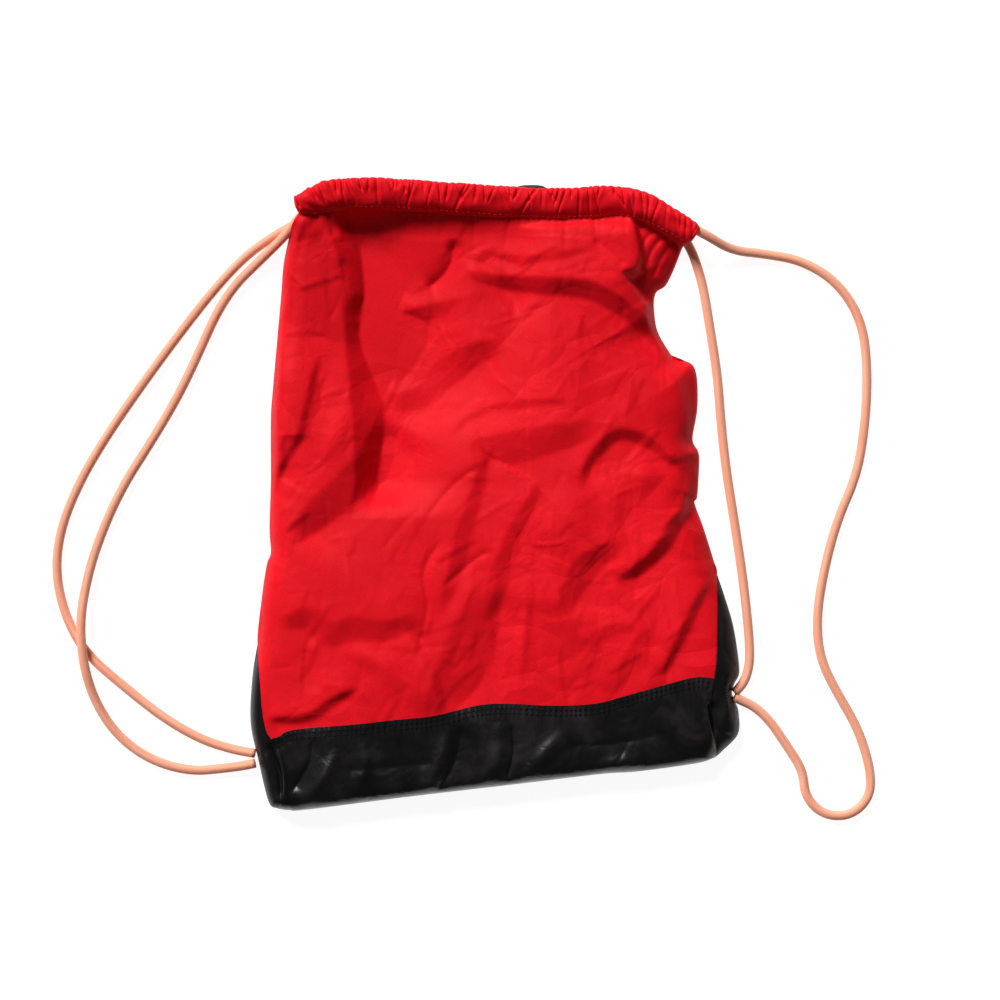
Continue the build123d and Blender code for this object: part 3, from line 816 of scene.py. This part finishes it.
def finish_piece(obj, material, nodes, body=None, middles=None):
    """Gives a piece its material, hides the CAD nodes that it stands for, and hangs it on its body or else
    lets it follow the mouth.
    """
    obj.data.materials.clear()
    obj.data.materials.append(material)
    if nodes:
        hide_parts(*nodes)
    if body:
        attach(obj, body)
    else:
        follow_mouth(obj, middles)


# ---------------------------------------------------------------- cords
def spline_points(route):
    """Points read from the route's own smooth line."""
    curve = bpy.data.curves.new("route", "CURVE")
    curve.dimensions = "3D"
    curve.resolution_u = 12
    spline = curve.splines.new("NURBS")
    spline.points.add(len(route) - 1)
    for point, place in zip(spline.points, route):
        point.co = (*place, 1)
    spline.order_u = 3
    spline.use_endpoint_u = True
    obj = bpy.data.objects.new("route", curve)
    bpy.context.scene.collection.objects.link(obj)
    bpy.context.view_layer.update()
    mesh = bpy.data.meshes.new_from_object(obj)
    points = np.array([v.co for v in mesh.vertices], float)
    bpy.data.objects.remove(obj)
    return points


def tube_net(path, radius, around):
    """Rings along a path, turned as little as possible from one to the next."""
    tangents = unit(np.gradient(path, axis=0))
    side = unit(np.cross(tangents[0], (0, 0, 1.0)))
    angles = np.linspace(0, 2 * math.pi, around, endpoint=False)
    rings = []
    for middle, tangent, r in zip(path, tangents, np.broadcast_to(radius, len(path))):
        side = unit(side - tangent * (side @ tangent))
        other = np.cross(tangent, side)
        rings.append(middle + r * (np.cos(angles)[:, None] * side + np.sin(angles)[:, None] * other))
    return np.array(rings)


def drawcord(name, route, node):
    """A round cord as a closed tube along its route's smooth line."""
    path = spline_points(route)
    along = arc_lengths(path)
    ring_pitch, around = 2.4 * MM, 18
    path = resample(path, np.linspace(0, 1, int(along[-1] / ring_pitch)))
    net = tube_net(path, CORD_RADIUS, around)
    rows = len(net)
    obj = new_mesh(name, net.reshape(-1, 3), tube_faces(rows, around))
    distance = np.repeat(arc_lengths(path), around)
    turn = np.tile(np.linspace(0, 1, around, endpoint=False), rows)
    store_place(obj, np.stack([turn, distance, 0 * turn], axis=1))
    finish_piece(obj, CORD, [node], middles=np.repeat(path, around, axis=0))
    return obj


def at_height(lane, z, towards_mouth=0.0):
    """A lane's plan points at a hem's height."""
    return [(x, y + towards_mouth, z) for x, y in lane]


def both_drawcords():
    """Each cord runs from its corner up, through one hem, round the mouth and back through the other.
    Both lie low in the front hem, and the left one a little nearer the mouth."""
    front_lane_z = FRONT_HEM_Z - 1.4 * MM
    aside = 1.3 * MM
    right = (RIGHT_OUTER_STRAND + at_height(NORTH_LANE, front_lane_z)
             + at_height(NORTH_LANE[::-1], BACK_HEM_Z) + RIGHT_INNER_STRAND)
    left = (LEFT_OUTER_STRAND + at_height(SOUTH_LANE, BACK_HEM_Z)
            + at_height(SOUTH_LANE[::-1], front_lane_z, aside) + LEFT_INNER_STRAND)
    drawcord("right_cord", right, "right_drawcord")
    drawcord("left_cord", left, "left_drawcord")


# ---------------------------------------------------------------- the front wall
def tucked_edge(net, side, inset=1.6):
    """Adds two columns that carry a side edge down and under to the back."""
    edge = net[:, 0] if side == "left" else net[:, -1]
    inward = (net[:, 3] if side == "left" else net[:, -4]) - edge
    inward[:, 2] = 0
    inward /= np.maximum(np.linalg.norm(inward, axis=1), 1e-9)[:, None]
    lower, under = edge.copy(), edge + inward * inset * MM
    lower[:, 2] = CLOTH
    under[:, 2] = CLOTH - 0.4 * MM
    extra = np.stack([under, lower], axis=1)
    if side == "left":
        return np.concatenate([extra, net], axis=1)
    return np.concatenate([net, extra[:, ::-1]], axis=1)


def front_panel():
    """The red front: one wrinkled sheet from the hem to the band, its sides turned down to the back.
    Its first two rows are tucked up into the hem, and its foot runs on under the band."""
    lap = 5
    below_seam = [(x, y - lap) for x, y in BAND_SEAM]
    left = smooth_curve(mm(LEFT_SIDE + LEFT_SEAM[1:-1] + [below_seam[0]]))
    right = smooth_curve(mm(RIGHT_SIDE + RIGHT_SEAM[1:-1] + [below_seam[-1]]))
    net = patch(smooth_curve(mm(UNDER_HEM)), smooth_curve(mm(below_seam)), left, right, columns=226, rows=284)
    surface = add_height(net)
    inside_hem = FRONT_HEM_Z - 4.3 * MM
    surface[0, :, 2] = inside_hem
    surface[1, :, 2] = np.maximum(surface[1, :, 2], inside_hem - 1 * MM)
    obj = net_object("front_panel_cloth", tucked_edge(tucked_edge(surface, "left"), "right"))
    finish_piece(obj, RED, ["front_panel"])


def band_pucker(points):
    """Fine ripples that the seam's stitching draws up in the band."""
    seam = smooth_curve(mm(BAND_SEAM))
    far, share, side = distance_to(seam, points)
    length = arc_lengths(seam)[-1]
    phase = share * length / (4.0 * MM) * 2 * math.pi
    wander = np.sin(share * 37) * 1.7 + np.sin(share * 91 + 1) * 0.9
    fade = np.exp(-((far - 4.5 * MM) / (4.2 * MM)) ** 2) * smoothstep(far / (2.6 * MM))
    return 0.30 * MM * np.sin(phase + wander) * fade


def moved(row, towards_mouth, up):
    """A row of points shifted by millimetres."""
    return row + np.array([0, towards_mouth, up]) * MM


def base_band():
    """The coated band on the front, its upper edge folded in over the red panel."""
    seam = smooth_curve(mm(BAND_SEAM))
    bottom, left, right = [smooth_curve(mm(line)) for line in (BOTTOM, LEFT_DART, RIGHT_DART)]
    net = patch(seam, bottom, left, right, columns=540, rows=72)
    flat = net.reshape(-1, 2)
    # The band stands 0.4 mm off the red panel at its seam, and 0.9 mm from 14 mm below the seam.
    from_seam = distance_to(seam, flat)[0]
    raised = 0.4 * MM + 0.5 * MM * smoothstep(from_seam / (14 * MM)) + band_pucker(flat)
    surface = add_height(net)
    surface[..., 2] += raised.reshape(net.shape[:2])
    tucked, folded = moved(surface[0], -0.6, -1.5), moved(surface[0], -0.4, -0.4)
    lip = surface[0] * 0.9 + surface[1] * 0.1
    low = surface[-1].copy()
    low[:, 2] = CLOTH - 0.1 * MM
    rows = [tucked, folded, surface[0], lip, *surface[1:], low, moved(low, 3, -0.4)]
    obj = net_object("base_band_cloth", np.array(rows))
    finish_piece(obj, COATED, ["base_band_front"], "sack")


def gusset(name, outer, inner, node, side):
    """A black side piece between the red panel's seam and the silhouette."""
    outer_line, inner_line = smooth_curve(mm(outer)), smooth_curve(mm(inner))
    shares = np.linspace(0, 1, 110)
    a, b = resample(inner_line, shares), resample(outer_line, shares)
    across = np.linspace(0, 1, 22)[None, :, None]
    net = a[:, None] * (1 - across) + b[:, None] * across
    surface = add_height(net, lift=0.25 * MM)
    # One more column runs in under the red panel's edge.
    hidden = surface[:, :1].copy()
    hidden[..., 0] -= side * 2.5 * MM
    hidden[..., 2] -= 1.2 * MM
    surface = np.concatenate([hidden, surface], axis=1)
    obj = net_object(name, tucked_edge(surface, "right"))
    finish_piece(obj, BLACK, [node], "sack")


def gussets():
    """Both lower sides."""
    gusset("side_gusset_left_cloth", [LEFT_SIDE[-1]] + LEFT_FOOT, LEFT_SEAM + LEFT_DART[1:],
           "side_gusset_left", -1)
    gusset("side_gusset_right_cloth", [RIGHT_SIDE[-1]] + RIGHT_FOOT, RIGHT_SEAM + RIGHT_DART[1:],
           "side_gusset_right", 1)


# ---------------------------------------------------------------- the back
def back_sheet(name, top, bottom, left, right, rows, material, node):
    """One panel of the back: a thin closed sheet, nearly flat on what the sack lies on."""
    net = patch(top, bottom, left, right, 150, rows)
    x, y = net[..., 0], net[..., 1]
    ripple = 0.22 * MM * (np.sin(x * 61 + y * 23) * np.sin(y * 47 - x * 19) + 0.5 * np.sin(x * 140 - y * 90))
    upper = np.concatenate([net, (CLOTH - 0.35 * MM + ripple)[..., None]], axis=-1)
    lower = upper.copy()
    lower[..., 2] = 0.05 * MM
    count = upper.shape[0] * upper.shape[1]
    top_faces = net_faces(*upper.shape[:2])
    faces = top_faces + [tuple(i + count for i in face[::-1]) for face in top_faces]
    index = np.arange(count).reshape(upper.shape[:2])
    rim = np.concatenate([index[0], index[1:, -1], index[-1, -2::-1], index[-2:0:-1, 0]])
    for a, b in zip(rim, np.roll(rim, -1)):
        faces.append((int(a), int(b), int(b) + count, int(a) + count))
    obj = new_mesh(name, np.vstack([upper.reshape(-1, 3), lower.reshape(-1, 3)]), faces)
    finish_piece(obj, material, [node], "sack")


def back_wall():
    """The black back panel and the coated band at its foot."""
    shrink = 0.992
    left = smooth_curve(mm(LEFT_SIDE + LEFT_FOOT)) * (shrink, 1)
    right = smooth_curve(mm(RIGHT_SIDE + RIGHT_FOOT)) * (shrink, 1)
    split_y = BACK_LOW[1]
    left_top, left_foot = left[left[:, 1] >= split_y], left[left[:, 1] < split_y]
    right_top, right_foot = right[right[:, 1] >= split_y], right[right[:, 1] < split_y]
    hem = resample(smooth_curve(mm(UNDER_HEM)), np.linspace(0, 1, 90))
    hem[:, 1] += 4 * MM * np.sin(np.linspace(0, math.pi, 90)) ** 0.5
    hem[0], hem[-1] = left_top[0], right_top[0]
    seam = np.linspace(left_top[-1], right_top[-1], 40)
    bottom = smooth_curve(mm(BOTTOM)) + (0, 0.8 * MM)
    bottom[0], bottom[-1] = left_foot[-1], right_foot[-1]
    foot_seam = np.linspace(left_foot[0], right_foot[0], 40)
    back_sheet("back_panel_cloth", hem, seam, left_top, right_top, 150, BLACK, "back_panel")
    back_sheet("back_band_cloth", foot_seam, bottom, left_foot, right_foot, 36, COATED,
               "base_band_back")


# ---------------------------------------------------------------- hems
# A hem's cross-section: (offset towards the mouth, height from its middle) in millimetres. The front
# hem's crest lies towards the mouth, and it slopes down to the stitching on the pouch side.
FRONT_HEM_PROFILE = [
    (11.4, -1.4), (11.0, 1.8), (8.8, 4.3), (5.2, 5.4), (1.4, 5.2), (-2.4, 4.5), (-5.4, 3.4), (-8.2, 1.4),
    (-10.4, -1.2), (-11.8, -3.6), (-11.2, -5.0), (-5, -5.6), (2, -5.9), (7.4, -5.8), (10.8, -4.4),
]
BACK_HEM_PROFILE = [
    (11.0, 0), (10.0, 3.2), (6.5, 4.8), (0, 5.0), (-6.5, 4.6), (-10.0, 2.8), (-11.0, 0), (-10.0, -3.2),
    (-6.5, -4.8), (0, -5.0), (6.5, -4.8), (10.0, -3.2),
]


def closed_profile(points, samples):
    """A smooth closed outline with its outward normals."""
    p = mm(points)
    per_span = 12
    looped = np.vstack([p[-2:], p, p[:3]])
    curve = smooth_curve(looped, per_span)[2 * per_span:-2 * per_span]
    ring = resample(curve, np.linspace(0, 1, samples, endpoint=False))
    ahead = np.roll(ring, -1, axis=0) - np.roll(ring, 1, axis=0)
    normal = unit(np.stack([-ahead[:, 1], ahead[:, 0]], axis=1))
    if (normal * (ring - ring.mean(0))).sum() < 0:
        normal = -normal
    return ring, normal


def pleat_depth(distance, offset, length, seed):
    """How far the cloth is drawn in at a distance along a hem and an offset across it.
    Uneven slits start at the mouth edge and fade; towards the right end they ring the whole hem."""
    rng = np.random.default_rng(seed)
    depth = np.zeros(np.broadcast(distance, offset).shape)
    at = 2 * MM
    while at < length:
        ringed = at > 0.80 * length
        slant = rng.normal(-0.35, 0.15) if ringed else rng.normal(0, 0.30)
        wide = rng.uniform(0.8, 1.3) * MM if ringed else rng.uniform(0.5, 1.2) * MM
        reach = -14 * MM if ringed or rng.random() < 0.4 else rng.uniform(-9, 3) * MM
        strength = rng.uniform(1.0, 2.4) * MM * (0.7 if ringed else 1.0)
        gap = distance - at - slant * (offset - 10 * MM)
        fade = smoothstep((offset - reach) / (5 * MM))
        depth += strength * np.exp(-(gap / wide) ** 2) * fade
        depth -= 0.35 * MM * np.exp(-((gap - 2.4 * MM) / (1.8 * MM)) ** 2) * fade
        at += rng.uniform(4.4, 7.6) * MM if ringed else rng.uniform(2.6, 7.6) * MM
    return depth


def hem_size(distance):
    """How wide and how high the hem is along its length, and how its two ends round off."""
    length = distance[-1]
    share = distance / length
    left_round = np.sqrt(1 - (1 - np.clip(distance / (5 * MM), 0.02, 1)) ** 2)
    right_round = np.sqrt(1 - (1 - np.clip((length - distance) / (3.5 * MM), 0.03, 1)) ** 2)
    narrow = 1 - 0.25 * smoothstep((share - 0.78) / 0.22) - 0.22 * smoothstep((0.09 - share) / 0.09)
    rounding = left_round * right_round
    low = 1 - 0.10 * smoothstep((share - 0.85) / 0.15)
    return narrow * rounding, low * rounding, rounding


def hem_swell(distance, place, seed, pleating):
    """How far the cloth stands out along a hem at one place of its cross-section: slow ripples,
    a bunched left end, and the pleats, which are shallower on the pouch side and low down."""
    offset, rise = place
    pull = pleating * pleat_depth(distance, offset, distance[-1], seed)
    pull *= 1 - 0.4 * smoothstep((2 * MM - offset) / (4 * MM))
    pull *= 0.3 + 0.7 * smoothstep((rise + 1.5 * MM) / (3.6 * MM))
    ripple = 0.5 * MM * np.sin(distance * 83 + offset * 210)
    ripple = ripple + 0.3 * MM * np.sin(distance * 190 - offset * 330)
    bunch = smoothstep((0.13 - distance / distance[-1]) / 0.08)
    knot = 0.9 * MM * bunch * (0.4 + np.sin(distance * 620 + offset * 520) * np.cos(rise * 260))
    return ripple + knot - pull


def gathered_hem(name, middle_z, profile, material, nodes, body, seed, pleating=1.0):
    """A hem drawn up on its cords: a closed sleeve with slit pleats and rounded ends."""
    line = resample(HEM, np.linspace(0, 1, 620))
    distance = arc_lengths(line)
    tangent = unit(np.gradient(line, axis=0))
    across = np.stack([-tangent[:, 1], tangent[:, 0]], axis=1)
    width, height, rounding = hem_size(distance)
    ring, normal = closed_profile(profile, 56)
    rings = np.zeros((len(line), len(ring), 3))
    for k, (place, out) in enumerate(zip(ring, normal)):
        swell = hem_swell(distance, place, seed, pleating) * rounding
        rings[:, k, :2] = line + across * (place[0] * width + out[0] * swell * 0.55)[:, None]
        rings[:, k, 2] = middle_z + place[1] * height + out[1] * swell
    rings[:, :, 2] = np.maximum(rings[:, :, 2], 1.6 * MM)
    obj = new_mesh(name, rings.reshape(-1, 3), tube_faces(len(line), len(ring)))
    finish_piece(obj, material, nodes, body)
    return rings, ring


def hem_stitches(rings, profile):
    """The row that closes the front hem, low on its slope towards the pouch."""
    offset, rise = profile.T
    off_row = np.abs(offset + 9.6 * MM)
    off_row[rise <= -4.0 * MM] = 1.0
    row = int(off_row.argmin())
    path, inside, outside = rings[:, row], rings[:, row - 2], rings[:, row + 2]
    distance = arc_lengths(path)
    pitch = 4.0 * MM
    stitches = []
    for place in np.arange(14 * MM, distance[-1] - 12 * MM, pitch):
        k = int(np.searchsorted(distance, place))
        along = unit(path[k + 2] - path[k - 2])
        up = unit(np.cross(along, inside[k] - outside[k]))
        if up[2] < 0:
            up = -up
        place_above = path[k] + up * 0.15 * MM
        stitches.append(thread_stitch(place_above, along, up, length=2.3 * MM, width=0.55 * MM))
    obj = join_solids("front_channel_thread", stitches)
    finish_piece(obj, RED_THREAD, ["front_channel_stitching"])


def hems():
    """The red front hem with its stitching, and the black back hem under it."""
    rings, profile = gathered_hem("front_hem_cloth", FRONT_HEM_Z, FRONT_HEM_PROFILE, RED,
                                  ["front_channel"], body=None, seed=SEED + 11)
    hem_stitches(rings, profile)
    gathered_hem("back_hem_cloth", BACK_HEM_Z, BACK_HEM_PROFILE, BLACK, ["back_channel"],
                 body="sack", seed=SEED + 12, pleating=0.4)


# ---------------------------------------------------------------- stitching, loop and tacks
def on_band(plan):
    """Plan points raised to just above the band."""
    return np.column_stack([plan, front_height(plan) + band_pucker(plan) + 0.95 * MM])


def band_topstitches():
    """Two rows of real stitches over the band, following its ripples."""
    for name, drop, node in (("band_thread_upper", 3.2, "band_topstitch_upper"),
                             ("band_thread_lower", 7.0, "band_topstitch_lower")):
        line = smooth_curve(mm([(x, y - drop) for x, y in BAND_SEAM]))
        pitch = 3.6 * MM
        count = int(arc_lengths(line)[-1] / pitch)
        shares = (np.arange(1, count - 1) + 0.5) / count
        plan = resample(line, shares)
        ahead = resample(line, shares + 0.4 * MM / (count * pitch))
        stitches = []
        for p, q in zip(on_band(plan), on_band(ahead)):
            along = unit(q - p)
            up = unit(np.array([0, 0, 1.0]) - along * along[2])
            stitches.append(thread_stitch(p, along, up, length=2.5 * MM, width=0.6 * MM))
        finish_piece(join_solids(name, stitches), BLACK_THREAD, [node], "sack")


# The strap's cross-section: (share of its half width, share of its thickness), and how far across
# the strap, in millimetres, each point lies on the weave.
STRAP_SECTION = [(-1, 0), (-1, 1), (-0.5, 1.12), (0, 1.16), (0.5, 1.12), (1, 1), (1, 0), (0, -0.02)]
STRAP_WEAVE = (0, 0, 2, 4, 6, 8, 8, 4)
STRAP_WIDTH = 8 * MM
STRAP_THICKNESS = 1.3 * MM
LOOP_SPREAD = 1.2 * MM     # the strap lies this much further out than the plain CAD arch
LOOP_LIFT = 3.4 * MM       # how far the arch's top stands off what it lies on


def square_round(value, power=0.6):
    """A sine or cosine pushed outwards, so that an arch drawn with it has fuller shoulders."""
    return math.copysign(abs(value) ** power, value)


def hang_loop():
    """The webbing arch behind the hem, a flat ribbed strap that lifts a little at its top."""
    middle_x = (LOOP_LOW[0] + LOOP_HIGH[0]) / 2
    outer = (LOOP_HIGH[0] - LOOP_LOW[0]) / 2
    base_y = LOOP_HIGH[1] - outer - 0.8 * MM
    angles = np.linspace(-0.2, math.pi + 0.2, 60)
    radius = outer - STRAP_WIDTH / 2
    rows = []
    for angle in angles:
        lift = LOOP_LIFT * math.sin(angle) ** 2 if 0 < angle < math.pi else 0
        ring = []
        for across, up in STRAP_SECTION:
            r = radius + LOOP_SPREAD + across * STRAP_WIDTH / 2
            x = middle_x + r * square_round(math.cos(angle))
            y = base_y + r * square_round(math.sin(angle))
            ring.append((x, y, 0.1 * MM + lift + up * STRAP_THICKNESS))
        rows.append(ring)
    obj = net_object("hang_loop_webbing", np.array(rows), wrap=True)
    places = np.array([[across * MM, angle * radius, 0] for angle in angles for across in STRAP_WEAVE])
    store_place(obj, places)
    finish_piece(obj, WEBBING, ["hang_loop"], "sack")


def cord_tack(name, ends, node):
    """A bar of zigzag thread on the gusset's edge, over the place where a cord's ends are sewn in."""
    line = np.linspace(*mm(ends), 13)
    heights = front_height(line) + 0.5 * MM
    along = unit(np.array([*(line[-1] - line[0]), 0.0]))
    up = np.array([0, 0, 1.0])
    across = np.cross(up, along)
    wraps = []
    for k, (place, z) in enumerate(zip(line, heights)):
        direction = unit(across + along * (0.35 if k % 2 else -0.35))
        wraps.append(thread_stitch(np.array([*place, z]), direction, up, length=3.4 * MM, width=0.7 * MM))
    finish_piece(join_solids(name, wraps), BLACK_THREAD, [node], "sack")


# A seam allowance's cross-section: (distance in from the sack's side, height) in millimetres.
SEAM_SECTION = [(1.2, 1.25), (1.2, 2.2), (3.0, 2.5), (6.0, 2.3), (6.0, 1.35), (3.0, 1.25)]


def side_seams():
    """The seam allowances, folded in under the front panel's edges."""
    for name, edge, node, inward in (("side_seam_left_cloth", LEFT_SIDE, "side_seam_left", 1),
                                     ("side_seam_right_cloth", RIGHT_SIDE, "side_seam_right", -1)):
        line = resample(smooth_curve(mm(edge)), np.linspace(0.03, 1, 160))
        rows = []
        for shift, z in SEAM_SECTION:
            rows.append(np.column_stack([line + (inward * shift * MM, 0), np.full(len(line), z * MM)]))
        obj = net_object(name, np.stack(rows, axis=1), wrap=True)
        finish_piece(obj, BLACK, [node], "sack")


def small_cad_parts():
    """Hidden CAD pieces that keep their own shape."""
    for node, material in (("back_channel_stitching", BLACK_THREAD), ("back_band_stitching", BLACK_THREAD),
                           ("hang_loop_tacks", BLACK_THREAD), ("mouth_corner_tack_left", RED_THREAD),
                           ("mouth_corner_tack_right", RED_THREAD)):
        obj = frame["nodes"][node]
        for slot in obj.material_slots:
            slot.material = material


# ---------------------------------------------------------------- studio
def floor():
    reach = 4.0
    corners = [(-reach, -reach, 0), (reach, -reach, 0), (reach, reach, 0), (-reach, reach, 0)]
    mesh = bpy.data.meshes.new("floor")
    mesh.from_pydata(corners, [], [(0, 1, 2, 3)])
    ground = bpy.data.objects.new("floor", mesh)
    ground.location.z = -0.2 * MM
    bpy.context.scene.collection.objects.link(ground)
    ground.data.materials.append(pale_floor())


def room_light():
    """A faint white light from all round."""
    world = bpy.data.worlds.new("studio")
    bpy.context.scene.world = world
    world.use_nodes = True
    background = world.node_tree.nodes["Background"]
    background.inputs["Color"].default_value = (1, 1, 1, 1)
    background.inputs["Strength"].default_value = 0.10


def key_light():
    """One broad soft light from beyond the mouth, on the left."""
    light = bpy.data.lights.new("key", "SUN")
    light.energy = 4.35
    light.angle = math.radians(20)
    key = bpy.data.objects.new("key", light)
    key.rotation_euler = Vector((0.72, -1.25, -1.08)).to_track_quat("-Z", "Y").to_euler()
    bpy.context.scene.collection.objects.link(key)


def overhead_camera():
    """The camera straight above, framing a square 750 mm wide."""
    picture_width = 0.750
    view_height = 1.9
    sensor = 36.0
    camera = bpy.data.cameras.new("camera")
    camera.sensor_width = sensor
    camera.lens = sensor * view_height / picture_width
    eye = bpy.data.objects.new("camera", camera)
    eye.location = (3.75 * MM, -3.75 * MM, view_height)
    bpy.context.scene.collection.objects.link(eye)
    bpy.context.scene.camera = eye


def studio():
    """The floor, the lights and the camera."""
    floor()
    room_light()
    key_light()
    overhead_camera()
    bpy.context.scene.view_settings.view_transform = "Standard"


both_drawcords()
front_panel()
base_band()
gussets()
back_wall()
hems()
band_topstitches()
hang_loop()
cord_tack("cord_tack_left_thread", LEFT_TACK, "cord_tack_left")
cord_tack("cord_tack_right_thread", RIGHT_TACK, "cord_tack_right")
side_seams()
small_cad_parts()
studio()
